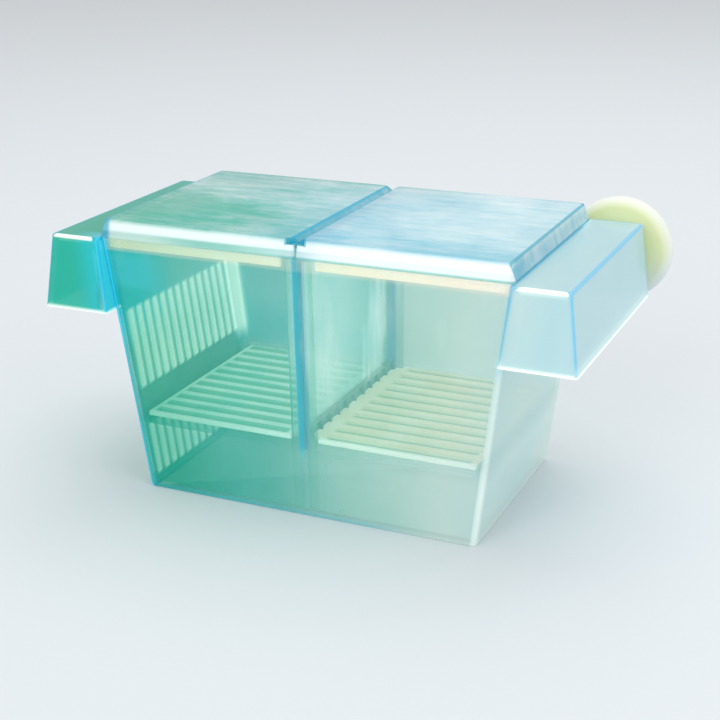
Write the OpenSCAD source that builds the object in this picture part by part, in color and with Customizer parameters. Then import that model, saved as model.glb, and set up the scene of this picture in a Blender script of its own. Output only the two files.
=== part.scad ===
// Floating fish breeding box: a clear tapered tank with a float bonded to each end and
// rails bonded inside, two hinged half lids, a divider, two slotted floor grilles and
// two suction cups.
// X runs along the box, Y towards the aquarium glass, Z up. The origin is the
// middle of the underside of the tank floor. All sizes are in millimetres.

/* [Tank] */
// Outside length of the tank at its rim
tank_top_l = 155; // [145:1:180]
// Outside width of the tank at its rim
tank_top_w = 87; // [80:1:110]
// Outside length of the tank at its floor
tank_base_l = 130; // [115:1:140]
// Outside width of the tank at its floor
tank_base_w = 82; // [74:1:84]
// Height of the tank's rim above its underside
tank_h = 96; // [88:1:120]
// Thickness of the tank's walls
wall_t = 1.8; // [1.2:0.1:2.4]
// Thickness of the tank's floor
floor_t = 1.8; // [1.2:0.1:3]
// Radius of the tank's upright corners
corner_r = 2.5; // [1:0.5:4]

/* [End floats] */
// Reach of each float beyond the end of the tank's rim
float_reach = 19; // [16:1:30]
// How far each float stands proud of the tank's sides
float_proud = 2; // [1:0.5:5]
// Depth of each float from the rim down to its open underside
float_drop = 27; // [22:1:34]
// Outward flare of each float's end wall from top to bottom
float_flare_l = 3.5; // [0:0.5:6]
// Outward flare of each float's front wall from top to bottom
float_flare_w = 2.5; // [0:0.5:5]
// Thickness of the floats' walls
float_t = 1.6; // [1.2:0.1:2.4]

/* [End wall slits] */
// Width of the water slits in the left end wall
end_slit_w = 2; // [1:0.1:2.8]
// Distance from one water slit to the next
end_slit_pitch = 5.4; // [4:0.1:8]

/* [Grilles] */
// Height of the grilles' top face above the tank's underside
grille_z = 30; // [24:1:36]
// Thickness of the grilles
grille_t = 1.8; // [1.2:0.1:2.4]
// Width of the slits that fry drop through
slit_w = 2.8; // [1.5:0.1:3.5]
// Distance from one grille slit to the next
slit_pitch = 7.3; // [5:0.1:10]
// Gap between a grille and the tank's end wall
grille_end_gap = 2.8; // [0.5:0.1:3.5]
// Gap between a grille and the tank's front or back wall
grille_side_gap = 0.4; // [0.3:0.1:0.8]
// Reach of the ledges that the grilles rest on
ledge_d = 1.5; // [1:0.1:3]

/* [Divider] */
// Thickness of the divider plate
divider_t = 2; // [1.2:0.1:2.6]
// Gap on each side of the divider in its rails
divider_gap = 0.25; // [0.15:0.05:0.5]
// How far the divider's top edge lies below the rim
divider_below_rim = 2; // [1:0.5:6]
// Width of each rail rib
rail_w = 3.5; // [2:0.1:5]
// How far the rail ribs stand in from the wall
rail_d = 2; // [1.5:0.1:3.5]

/* [Lids] */
// Height of the lids above the rim
lid_h = 6.5; // [5:0.5:10]
// Thickness of the lids' tops
lid_top_t = 1.8; // [1.2:0.1:2.2]
// Thickness of the lids' sloping sides
lid_side_t = 1.6; // [1.2:0.1:2]
// Inward slope of the lids' outer ends from rim to top
lid_slope_l = 2.1; // [1:0.1:3]
// Inward slope of the lids' front and back from rim to top
lid_slope_w = 1.6; // [1:0.1:2.5]
// Gap between the two lids at their seam
seam_gap = 0.5; // [0.3:0.1:1]
// Width of the V groove along the top of the seam
groove_w = 4.6; // [2:0.1:6]
// Depth of the V groove along the top of the seam
groove_d = 1.6; // [0.5:0.1:2]
// Radius of the finger notch at the front of the seam
finger_r = 3.5; // [2:0.5:6]
// Depth of the locating lips below the rim
lip_drop = 4; // [2:0.5:7]
// Thickness of the locating lips
lip_t = 1.4; // [1:0.1:2]
// Gap between the locating lips and the tank's walls
lip_gap = 0.4; // [0.35:0.05:0.8]

/* [Lid hinges] */
// Radius of the hinge pins
pin_r = 1.5; // [1:0.1:1.8]
// Radial gap of the hinge pins in their ears
pin_gap = 0.05; // [0.02:0.01:0.08]
// Radius of the rounded hinge ears and arms
knuckle_r = 2.7; // [2.4:0.1:2.9]
// Distance of the hinge axis behind the tank's rim
hinge_back = 3.3; // [3.2:0.1:5]
// Height of the hinge axis above the rim
hinge_up = 1.2; // [0.8:0.1:1.6]
// Thickness of the hinge ears and arms
ear_t = 2.4; // [1.6:0.1:4]
// Gap along the axis between an ear and its arm
ear_gap = 0.4; // [0.3:0.1:1]
// Distance of the inner ears from the middle of the box
inner_ear_x = 18; // [12:1:30]
// Distance of the outer ears in from the end of the rim
outer_ear_inset = 15; // [12:1:25]
// Angle at which an open lid's heels stop on the tank's back wall
lid_open = 95; // [80:1:100]

/* [Suction cups] */
// Radius of the suction cups
cup_r = 19.5; // [14:0.5:21]
// Distance from the floats' back wall to the suction cups' rims
cup_reach = 12; // [10:0.5:16]
// Radius of the suction cups' necks
neck_r = 2.5; // [2:0.1:3]
// Radius of the button head on each neck
head_r = 4.2; // [3.6:0.1:4.4]
// Thickness of the button heads
head_t = 2.2; // [1.5:0.1:4]
// Gap round a neck in its slot, and on each side of the slotted wall
neck_gap = 0.3; // [0.2:0.05:0.4]
// Distance of the cups' axes beyond the end of the rim
cup_out = 8.4; // [6:0.1:9.8]
// Depth of the slots' round ends below the rim
slot_end_drop = 13; // [10:0.5:15]
// How far down its slot the right cup is set
right_cup_down = 0; // [0:1:10]
// How far down its slot the left cup is set
left_cup_down = 10; // [0:1:10]

/* [Hidden] */
$fn = 64;
// Facets of the rounded corners inside a hull
corner_fn = 32;
// Thickness of the outline slabs that a hull joins, and the overlap that fuses two solids
skin = 0.01;
fuse = 0.5;
// Reach of a cutter past the face that it cuts
past = 1;

// Half length and half width of the tank's outside at a height
function half_l(z) = (tank_base_l + (tank_top_l - tank_base_l) * z / tank_h) / 2;
function half_w(z) = (tank_base_w + (tank_top_w - tank_base_w) * z / tank_h) / 2;
// The same for its inside
function in_half_l(z) = half_l(z) - wall_t;
function in_half_w(z) = half_w(z) - wall_t;

rim_l = tank_top_l / 2;
rim_w = tank_top_w / 2;

float_z = tank_h - float_drop;
float_end = rim_l + float_reach;
float_side = rim_w + float_proud;
// Reach of each float back round the tank's corners, and its air space's share of that
float_root = wall_t;
float_root_in = 0.3;
// Radii of the floats' upright corners outside and inside
float_r = corner_r / 2;
float_in_r = float_r / 2;

grille_under = grille_z - grille_t;
grille_end = in_half_l(grille_under) - grille_end_gap;
grille_side = in_half_w(grille_under) - grille_side_gap;
// Gap between a grille's inner edge and the divider
lane_gap = 0.6;
grille_inner = divider_t / 2 + lane_gap;
// Bar left between the slits and the grille's ends
grille_end_bar = 2.4;
// Plain strip beside the divider, from its middle
lane_half = 8;
// Depth of the comb notches in the grilles' inner edges, and their height in the divider
comb_d = 1.2;
comb_h = 1.8;
// Least bar left outside the outermost slit
edge_bar = 1.5;
slit_n = floor((grille_side - edge_bar - slit_w / 2) / slit_pitch);
slit_ys = [for (k = [-slit_n : slit_n]) k * slit_pitch];

channel_half = divider_t / 2 + divider_gap;
rail_out = channel_half + rail_w;
rail_top = tank_h - 1;
// Height of the stops that the divider's lower corners stand on
stop_h = 3;
ledge_h = 3;
// Room left round the rails by the grilles and by the lids' lips
rail_room = 0.6;
lip_rail_room = 1.8;

divider_top = tank_h - divider_below_rim;
// Gap between the divider's upright edges and the tank's walls
divider_edge_gap = 0.35;
// Width and height of the cut upper corners of the divider
divider_cut = [1.2, 4];

// Plain bands left above, below and between the two rows of end wall slits
slit_margin = 2.2;
grille_band = 5;
end_slit_rows = [
    [floor_t + slit_margin, grille_under - ledge_h - slit_margin],
    [grille_z + grille_band + ledge_h, float_z - slit_margin]
];
end_slit_room = in_half_w(0) - corner_r - (end_slit_w + end_slit_pitch) / 2;
end_slit_n = floor(end_slit_room / end_slit_pitch);
end_slit_ys = [for (k = [-end_slit_n - 1 : end_slit_n]) (k + 0.5) * end_slit_pitch];

lid_top_z = tank_h + lid_h;
lid_under = lid_top_z - lid_top_t;
// Share of the lid's height at which the seam's groove starts
groove_share = 1 - groove_d / lid_h;
// Edge thickening beside the seam, under the groove, and what it is short of the top's thickness
seam_edge_w = groove_w / 2 + lid_side_t;
seam_thin = 0.2;
seam_under = lid_under - groove_d + seam_thin;
seam_under_slope = lid_slope_w * (seam_under - tank_h) / lid_h;
finger_d = 2;
lip_z = tank_h - lip_drop;
lip_y = in_half_w(lip_z) - lip_gap;
lip_x = in_half_l(lip_z) - lip_gap;
// How far the end lips stop short of the back wall
lip_back = 4;

hinge_y = rim_w + hinge_back;
hinge_z = tank_h + hinge_up;
// Room between the arms' undersides and the rim
arm_room = 0.3;
// How far the pins stop short of the ears' far faces, and reach into the arms
pin_end = 0.5;
// Gap left between an open lid's heels and the wall
heel_gap = 0.15;
// Reach of a heel below the axis, as a share of the knuckle's radius
heel_share = 1.2;
heel_drop = heel_share * knuckle_r;
outer_ear_x = rim_l - outer_ear_inset;
// Corner of the heel at rest, turned back from where it stops, measured from the axis
stop_y = half_w(hinge_z - heel_drop) - hinge_y + heel_gap;
heel = [
    stop_y * cos(lid_open) + heel_drop * sin(lid_open),
    stop_y * sin(lid_open) - heel_drop * cos(lid_open)
];
ear_foot = 9;

cup_x = rim_l + cup_out;
slot_z = tank_h - slot_end_drop;
slot_half = neck_r + neck_gap;
// Boss on the cup's middle: its step out from the neck and its height
boss_step = 3;
boss_r = neck_r + boss_step;
boss_h = 3;
// Thickness of the cup's rim, and depth of its hollow
cup_edge = 0.7;
cup_hollow = 7;
// Steps round the cup's curved profile, in degrees
cup_step = 7.5;

// Four thin round corners of an outline at a height, to be joined by a hull
module outline(x0, x1, y0, y1, z, r) {
    for (x = [x0 + r, x1 - r], y = [y0 + r, y1 - r])
        translate([x, y, z]) cylinder(r = r, h = skin, $fn = corner_fn);
}

// Plate with an outline in Y and Z, from x0 along X
module yz_plate(x0, t, points) {
    translate([x0, 0, 0]) rotate([90, 0, 90]) linear_extrude(t) polygon(points);
}

// Both ends of the box
module both_ends() {
    children();
    mirror([1, 0, 0]) children();
}

// Front and back of the box
module both_sides() {
    children();
    mirror([0, 1, 0]) children();
}

module tank_outside() {
    hull() {
        outline(-half_l(0), half_l(0), -half_w(0), half_w(0), 0, corner_r);
        outline(-rim_l, rim_l, -rim_w, rim_w, tank_h - skin, corner_r);
    }
}

module tank_inside() {
    r = max(corner_r - wall_t, fuse);
    l = in_half_l(floor_t);
    w = in_half_w(floor_t);
    top_l = in_half_l(tank_h + past);
    top_w = in_half_w(tank_h + past);
    hull() {
        outline(-l, l, -w, w, floor_t, r);
        outline(-top_l, top_l, -top_w, top_w, tank_h + past, r);
    }
}

// Right float, flared outwards at its end and front and upright at its back
module float_outside() {
    hull() {
        outline(half_l(float_z) - float_root, float_end + float_flare_l,
            -float_side - float_flare_w, float_side, float_z, float_r);
        outline(rim_l - float_root, float_end, -float_side, float_side, tank_h - skin, float_r);
    }
}

// Air space of the right float, open below
module float_inside() {
    top = tank_h - float_t;
    below = float_z - past;
    share = 1 + past / float_drop;
    top_share = float_t / float_drop;
    hull() {
        outline(half_l(below) - float_root_in, float_end + float_flare_l * share - float_t,
            -float_side - float_flare_w * share + float_t, float_side - float_t, below,
            float_in_r);
        outline(half_l(top) - float_root_in, float_end + float_flare_l * top_share - float_t,
            -float_side - float_flare_w * top_share + float_t, float_side - float_t,
            top - skin, float_in_r);
    }
}

// Rows of slits through the left end wall
module end_slits() {
    for (row = end_slit_rows, y = end_slit_ys)
        translate([-half_l(row[1]) - past, y - end_slit_w / 2, row[0]])
            cube([half_l(row[1]) - in_half_l(row[0]) + 2 * past, end_slit_w, row[1] - row[0]]);
}

// Slot for the right cup's neck, open at the float's lower edge
module cup_slot() {
    y0 = float_side - float_t - past;
    through = float_t + 2 * past;
    translate([cup_x, y0, slot_z]) rotate([-90, 0, 0]) cylinder(r = slot_half, h = through);
    translate([cup_x - slot_half, y0, float_z - past])
        cube([2 * slot_half, through, slot_z - float_z + past]);
}

// Hinge ear on the back of the rim, with a foot running down the wall
module hinge_ear(x) {
    yz_plate(x, ear_t, [
        [half_w(tank_h - ear_foot) - fuse, tank_h - ear_foot],
        [rim_w - fuse, tank_h - fuse],
        [hinge_y, hinge_z],
        [hinge_y + knuckle_r * cos(45), hinge_z - knuckle_r * sin(45)]
    ]);
    translate([x, hinge_y, hinge_z]) rotate([0, 90, 0]) cylinder(r = knuckle_r, h = ear_t);
}

module hinge_bore() {
    translate([inner_ear_x - past, hinge_y, hinge_z]) rotate([0, 90, 0])
        cylinder(r = pin_r + pin_gap, h = outer_ear_x - inner_ear_x + ear_t + 2 * past);
}

// Rib on the front wall from x0, following the wall's slope from z0 up to z1
module front_rib(x0, w, z0, z1) {
    yz_plate(x0, w, [
        [-in_half_w(z0), z0], [-in_half_w(z0) + rail_d, z0],
        [-in_half_w(z1) + rail_d, z1], [-in_half_w(z1), z1]
    ]);
}

// Two ribs on each wall with the divider's channel between them, and the stop across it
module divider_rails() {
    color("paleturquoise", 0.5) both_sides() {
        for (x = [channel_half, -rail_out]) front_rib(x, rail_w, floor_t, rail_top);
        front_rib(-rail_out, 2 * rail_out, grille_under - stop_h, grille_under);
    }
}

// Ledge under the front edge of the right grille
module ledge() {
    wall_y = -in_half_w(grille_under);
    yz_plate(rail_out, grille_end - rail_out, [
        [wall_y - fuse, grille_under], [wall_y + grille_side_gap + ledge_d, grille_under],
        [wall_y, grille_under - ledge_h], [wall_y - fuse, grille_under - ledge_h]
    ]);
}

// The tank with its end slits, ledges and hinge ears
module tank() {
    color("paleturquoise", 0.5) {
        difference() {
            union() {
                tank_outside();
                both_ends() {
                    hinge_ear(inner_ear_x);
                    hinge_ear(outer_ear_x);
                }
            }
            tank_inside();
            end_slits();
            both_ends() hinge_bore();
        }
        both_sides() both_ends() ledge();
    }
}

// Right float: three walls and a top, closed at its inner end by the tank's end wall
module right_float() {
    color("paleturquoise", 0.5) difference() {
        float_outside();
        tank_outside();
        float_inside();
        cup_slot();
    }
}

module left_float() {
    mirror([1, 0, 0]) right_float();
}

// Arm of the right lid: a rounded knuckle, a bar to the lid's back and a stop heel
module lid_arm(x) {
    yz_plate(x, ear_t, [
        [rim_w - lid_side_t, tank_h + arm_room],
        [hinge_y, tank_h + arm_room],
        [hinge_y, hinge_z + knuckle_r],
        [rim_w - lid_side_t, hinge_z + knuckle_r]
    ]);
    yz_plate(x, ear_t, [
        [hinge_y, hinge_z], [hinge_y, hinge_z - knuckle_r],
        [hinge_y + heel[0], hinge_z + heel[1]], [hinge_y + knuckle_r, hinge_z]
    ]);
    translate([x, hinge_y, hinge_z]) rotate([0, 90, 0]) cylinder(r = knuckle_r, h = ear_t);
}

// Pin from x0 along X on the hinge axis
module hinge_pin(x0) {
    translate([x0, hinge_y, hinge_z]) rotate([0, 90, 0])
        cylinder(r = pin_r, h = ear_t + ear_gap);
}

// Right half lid: a shallow tray upside down, with sloping sides and locating lips
module half_lid() {
    seam = seam_gap / 2;
    groove_z = tank_h + lid_h * groove_share;
    groove_in_l = lid_slope_l * groove_share;
    groove_in_w = lid_slope_w * groove_share;
    lid_r = corner_r / 2;
    under_share = 1 - lid_top_t / lid_h;
    in_x = rim_l - lid_side_t;
    in_y = rim_w - lid_side_t;
    inner_arm_x = inner_ear_x + ear_t + ear_gap;
    outer_arm_x = outer_ear_x - ear_gap - ear_t;
    difference() {
        hull() {
            outline(seam, rim_l, -rim_w, rim_w, tank_h, lid_r);
            outline(seam, rim_l - groove_in_l, groove_in_w - rim_w, rim_w - groove_in_w,
                groove_z, lid_r);
            outline(groove_w / 2, rim_l - lid_slope_l, lid_slope_w - rim_w,
                rim_w - lid_slope_w, lid_top_z - skin, lid_r);
        }
        hull() {
            outline(seam_edge_w, in_x, -in_y, in_y, tank_h - past, lid_r / 2);
            outline(seam_edge_w, in_x - lid_slope_l * under_share,
                lid_slope_w * under_share - in_y, in_y - lid_slope_w * under_share,
                lid_under - skin, lid_r / 2);
        }
        yz_plate(-past, seam_edge_w + 2 * past, [
            [-in_y, tank_h - past], [in_y, tank_h - past],
            [in_y - seam_under_slope, seam_under], [seam_under_slope - in_y, seam_under]
        ]);
        translate([0, -rim_w + lid_slope_w / 2, lid_top_z - finger_d])
            cylinder(r = finger_r, h = finger_d + past);
    }
    translate([rail_out + lip_rail_room, -lip_y, lip_z])
        cube([lip_x - rail_out - lip_rail_room, lip_t, lid_under + fuse - lip_z]);
    translate([lip_x - lip_t, -lip_y, lip_z])
        cube([lip_t, 2 * lip_y - lip_back, lid_under + fuse - lip_z]);
    lid_arm(inner_arm_x);
    lid_arm(outer_arm_x);
    hinge_pin(inner_ear_x + pin_end);
    hinge_pin(outer_arm_x + ear_t - pin_end);
}

module left_lid() {
    color("lightcyan", 0.6) mirror([1, 0, 0]) half_lid();
}

module right_lid() {
    color("lightcyan", 0.6) half_lid();
}

// Plate in the rails, with a comb of notches along its lower edge
module divider() {
    low = in_half_w(grille_under) - divider_edge_gap;
    high = in_half_w(divider_top - divider_cut[1]) - divider_edge_gap;
    color("deepskyblue", 0.5) difference() {
        yz_plate(-divider_t / 2, divider_t, [
            [-low, grille_under], [low, grille_under],
            [high, divider_top - divider_cut[1]], [high - divider_cut[0], divider_top],
            [divider_cut[0] - high, divider_top], [-high, divider_top - divider_cut[1]]
        ]);
        for (y = slit_ys)
            translate([-divider_t / 2 - past, y - slit_w / 2, grille_under - past])
                cube([divider_t + 2 * past, slit_w, grille_t + comb_h + past]);
    }
}

// Right grille: slits along X, a comb along the divider and corners cut round the rails
module grille() {
    rail_cut = in_half_w(grille_under) - rail_d - rail_room;
    translate([0, 0, grille_under]) linear_extrude(grille_t) difference() {
        translate([grille_inner, -grille_side]) square([grille_end - grille_inner, 2 * grille_side]);
        for (y = slit_ys) {
            translate([lane_half, y - slit_w / 2])
                square([grille_end - grille_end_bar - lane_half, slit_w]);
            translate([grille_inner - past, y - slit_w / 2]) square([comb_d + past, slit_w]);
        }
        for (y = [rail_cut, -grille_side - past])
            translate([grille_inner - past, y])
                square([rail_out + rail_room - grille_inner + past, grille_side - rail_cut + past]);
    }
}

module left_grille() {
    color("ivory") mirror([1, 0, 0]) grille();
}

module right_grille() {
    color("ivory") grille();
}

// Suction cup at x, set down its slot: button head, neck, boss and hollow dish
module suction_cup(x, down) {
    head_s = -float_t - neck_gap;
    dish_s = neck_gap + boss_h;
    dish_d = cup_reach - cup_edge - dish_s;
    front = [for (a = [0 : cup_step : 90])
        [boss_r + (cup_r - boss_r) * sin(a), cup_reach - cup_edge - dish_d * cos(a)]];
    hollow = [for (a = [90 : -cup_step : 0])
        [(cup_r - cup_edge) * sin(a), cup_reach - cup_hollow * cos(a)]];
    translate([x, float_side, slot_z - down]) rotate([-90, 0, 0]) rotate_extrude() polygon(concat(
        [[0, head_s - head_t], [head_r, head_s - head_t], [head_r, head_s], [neck_r, head_s],
            [neck_r, neck_gap], [boss_r, neck_gap]],
        front, [[cup_r, cup_reach]], hollow
    ));
}

module left_suction_cup() {
    color("lemonchiffon") suction_cup(-cup_x, left_cup_down);
}

module right_suction_cup() {
    color("lemonchiffon") suction_cup(cup_x, right_cup_down);
}

tank();
left_float();
right_float();
divider_rails();
left_lid();
right_lid();
divider();
left_grille();
right_grille();
left_suction_cup();
right_suction_cup();
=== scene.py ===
"""Clear floating fish breeding box: the dressed model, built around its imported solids.

Every length is in metres. X runs along the box, Y towards the aquarium glass, Z up.
"""
import math

import bpy
import numpy as np
from bpy.props import FloatProperty, FloatVectorProperty, IntProperty, PointerProperty
from bpy.types import Operator, Panel, PropertyGroup
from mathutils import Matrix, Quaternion, Vector


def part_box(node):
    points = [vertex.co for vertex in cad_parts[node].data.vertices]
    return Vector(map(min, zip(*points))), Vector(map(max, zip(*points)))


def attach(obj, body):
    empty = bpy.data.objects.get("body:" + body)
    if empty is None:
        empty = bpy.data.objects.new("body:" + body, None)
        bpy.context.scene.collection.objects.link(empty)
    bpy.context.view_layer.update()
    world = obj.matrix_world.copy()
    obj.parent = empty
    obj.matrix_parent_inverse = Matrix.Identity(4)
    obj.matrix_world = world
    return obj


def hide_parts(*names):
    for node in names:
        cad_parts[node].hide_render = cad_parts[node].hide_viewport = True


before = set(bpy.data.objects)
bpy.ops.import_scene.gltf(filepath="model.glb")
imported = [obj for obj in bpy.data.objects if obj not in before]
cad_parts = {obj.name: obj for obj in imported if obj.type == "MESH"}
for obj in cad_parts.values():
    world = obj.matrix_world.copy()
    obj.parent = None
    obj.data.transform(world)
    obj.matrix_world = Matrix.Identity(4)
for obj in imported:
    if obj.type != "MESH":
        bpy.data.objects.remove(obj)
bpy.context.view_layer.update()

bl_info = {
    "name": "Fish breeding box",
    "version": (1, 0, 0),
    "blender": (4, 5, 0),
    "location": "View3D > Sidebar > Breeding box",
    "description": "Clear floating breeding box with hinged lids, divider, grilles and cups",
    "category": "Add Mesh",
}

MM = 0.001
SMOOTH_ANGLE = 32  # degrees: sharper turns keep a hard edge
GRILLE_LOW, GRILLE_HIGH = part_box("right_grille")
DIVIDER_LOW, DIVIDER_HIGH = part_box("divider")
CUP_BOXES = {side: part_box(side + "_suction_cup") for side in ("right", "left")}


def rgb(code):
    """Linear colour of a hex code: each channel over 255, with the screen curve undone."""
    c = np.array([int(code[k : k + 2], 16) for k in (0, 2, 4)]) / 255
    return (*np.where(c <= 0.04045, c / 12.92, ((c + 0.055) / 1.055) ** 2.4).tolist(), 1.0)


def number(name, about, value, **more):
    """A number property."""
    return FloatProperty(name=name, description=about, default=value, **more)


def length(name, about, value):
    """A length property, its default given in millimetres."""
    return number(name, about, value * MM, unit="LENGTH", precision=5)


def whole(name, about, value):
    """A whole-number property."""
    return IntProperty(name=name, description=about, default=value)


def tint(name, about, code):
    """A colour property."""
    return FloatVectorProperty(
        name=name, description=about, default=rgb(code), subtype="COLOR", size=4, min=0, max=1
    )


def point(name, about, value):
    """A place property in metres."""
    return FloatVectorProperty(name=name, description=about, default=value, subtype="TRANSLATION")


class TankSizes(PropertyGroup):
    """Sizes of the tank, its floats, rails and ledges."""

    rim_l: length("Rim length", "Half length of the tank at its rim", 77.5)
    rim_w: length("Rim width", "Half width of the tank at its rim", 43.5)
    base_l: length("Base length", "Half length of the tank at its floor", 65)
    base_w: length("Base width", "Half width of the tank at its floor", 41)
    height: length("Height", "Height of the rim", 96)
    wall: length("Wall", "Thickness of the walls and the floor", 1.8)
    corner: length("Corner", "Radius of the upright corners", 2.5)
    base_round: length("Base round", "Radius of the edge round the base", 0.9)
    rim_round: length("Rim round", "Radius of the edges round the rim", 0.5)
    line: length("Lit line", "Width over which a lit edge fades into its wall", 1.4)
    slit_w: length("End slit width", "Width of the slits in the left end wall", 2)
    slit_pitch: length("End slit pitch", "Distance from one end slit to the next", 5.4)
    slit_pairs: whole("End slit pairs", "Slits on each side of the middle", 7)
    slit_margin: length("Slit margin", "Plain wall above and below the rows of slits", 2.2)
    slit_band: length("Slit band", "Plain wall above the grilles' level", 8)
    float_reach: length("Float reach", "Reach of a float beyond the rim's end", 19)
    float_proud: length("Float proud", "How far a float stands proud of the sides", 2)
    float_drop: length("Float drop", "Depth of a float from the rim", 27)
    flare_l: length("Float end flare", "Outward flare of a float's end wall", 3.5)
    flare_w: length("Float front flare", "Outward flare of a float's front wall", 2.5)
    float_wall: length("Float wall", "Thickness of the floats' walls", 1.6)
    float_round: length("Float round", "Radius of the edge round a float's top", 0.7)
    rail_in: length("Channel", "Half width of the divider's channel", 1.25)
    rail_out: length("Rail", "Outer edge of the rails, from the middle", 4.75)
    rail_d: length("Rail depth", "How far the rails stand in from the wall", 2)
    ledge_d: length("Ledge", "How far the grille ledges stand in from the wall", 1.9)
    ledge_h: length("Ledge height", "Height of the ledges and the divider's stops", 3)
    lap: length("Lap", "How far a bonded piece sinks into its wall", 0.05)


class InsideSizes(PropertyGroup):
    """Sizes of the divider and the grilles."""

    slit_w: length("Slit width", "Width of the grille slits", 2.8)
    slit_pitch: length("Slit pitch", "Distance from one grille slit to the next", 7.3)
    slit_pairs: whole("Slit pairs", "Slits on each side of the middle one", 5)
    lane: length("Lane", "Plain strip beside the divider, from its middle", 8)
    end_bar: length("End bar", "Bar left at the slits' outer ends", 2.4)
    comb: length("Comb", "Depth of the comb notches in the grilles", 1.2)
    rail_room: length("Rail room", "Room left round the rails by the grilles", 0.6)
    comb_h: length("Comb height", "Height of the divider's comb notches", 3.6)
    cut: length("Divider cut", "Width of the divider's cut upper corners", 1.2)
    cut_h: length("Divider cut height", "Height of the divider's cut upper corners", 4)
    edge_gap: length("Divider gap", "Gap between the divider's edges and the walls", 0.35)
    edge_w: length("Divider edge", "Width of the divider's lit edges", 0.9)


class LidSizes(PropertyGroup):
    """Sizes of the half lids and their hinges."""

    height: length("Height", "Height of the lids above the rim", 6.5)
    top: length("Top", "Thickness of the lids' tops", 1.8)
    side: length("Side", "Thickness of the lids' sides", 1.6)
    slope_l: length("End slope", "Inward slope of the ends from rim to top", 2.1)
    slope_w: length("Side slope", "Inward slope of the front and back", 1.6)
    corner: length("Corner", "Radius of the lids' upright corners", 1.25)
    edge_round: length("Edge round", "Radius of the edge round a lid's top", 0.35)
    seam: length("Seam", "Half gap between the lids", 0.25)
    seam_thin: length("Seam edge", "How much thinner the edge under the groove is", 0.2)
    groove_w: length("Groove", "Half width of the V groove along the seam", 2.3)
    groove_d: length("Groove depth", "Depth of the V groove along the seam", 1.6)
    finger_r: length("Finger notch", "Radius of the finger notch", 3.5)
    finger_d: length("Finger notch depth", "Depth of the finger notch", 2)
    lip_t: length("Lip", "Thickness of the locating lips", 1.4)
    lip_drop: length("Lip drop", "Depth of the lips below the rim", 4)
    lip_gap: length("Lip gap", "Gap between the lips and the tank's walls", 0.4)
    lip_back: length("Lip end", "How far the end lips stop short of the back wall", 4)
    lip_room: length("Lip room", "Room left by the lips beside the rails", 1.8)
    axis_y: length("Hinge axis Y", "Hinge axis behind the middle", 46.8)
    axis_z: length("Hinge axis Z", "Height of the hinge axis", 97.2)
    knuckle: length("Knuckle", "Radius of the ears and arms", 2.7)
    pin: length("Pin", "Radius of the hinge pins", 1.5)
    bore: length("Bore", "Radius of the ears' bores", 1.55)
    pin_short: length("Pin end", "How far the pins stop short of the ears' far faces", 0.5)
    ear_t: length("Ear", "Thickness of the ears and arms", 2.4)
    ear_foot: length("Ear foot", "Depth of the ears' feet below the rim", 9)
    inner_ear: length("Inner ear", "Inner face of the inner ears", 18)
    outer_ear: length("Outer ear", "Inner face of the outer ears", 62.5)
    ear_gap: length("Ear gap", "Gap between an ear and its arm", 0.4)
    arm_room: length("Arm room", "Room between the arms and the rim", 0.3)
    heel_gap: length("Heel gap", "Gap between an open lid's heels and the wall", 0.15)
    opening: number("Opening", "Angle at which the heels stop", math.radians(95), subtype="ANGLE")


class CupSizes(PropertyGroup):
    """Sizes of the suction cups and their slots."""

    axis_x: length("Cup axis", "Cup axis from the middle", 85.9)
    radius: length("Radius", "Radius of the suction cups", 19.5)
    edge: length("Edge", "Thickness of the cups' rims", 0.7)
    hollow: length("Hollow", "Depth of the cups' hollows", 7)
    neck: length("Neck", "Radius of the necks", 2.5)
    gap: length("Neck gap", "Gap between a boss and its float", 0.3)
    head: length("Head", "Radius of the button heads", 4.2)
    head_t: length("Head thickness", "Thickness of the button heads", 2.2)
    boss: length("Boss", "Radius of the bosses", 5.5)
    boss_h: length("Boss height", "Height of the bosses", 3)
    ease: length("Ease", "Rounding of the cups' edges", 0.5)
    slot: length("Slot", "Half width of the slots", 2.8)
    slot_z: length("Slot end", "Height of the slots' round ends' centres", 83)


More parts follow.
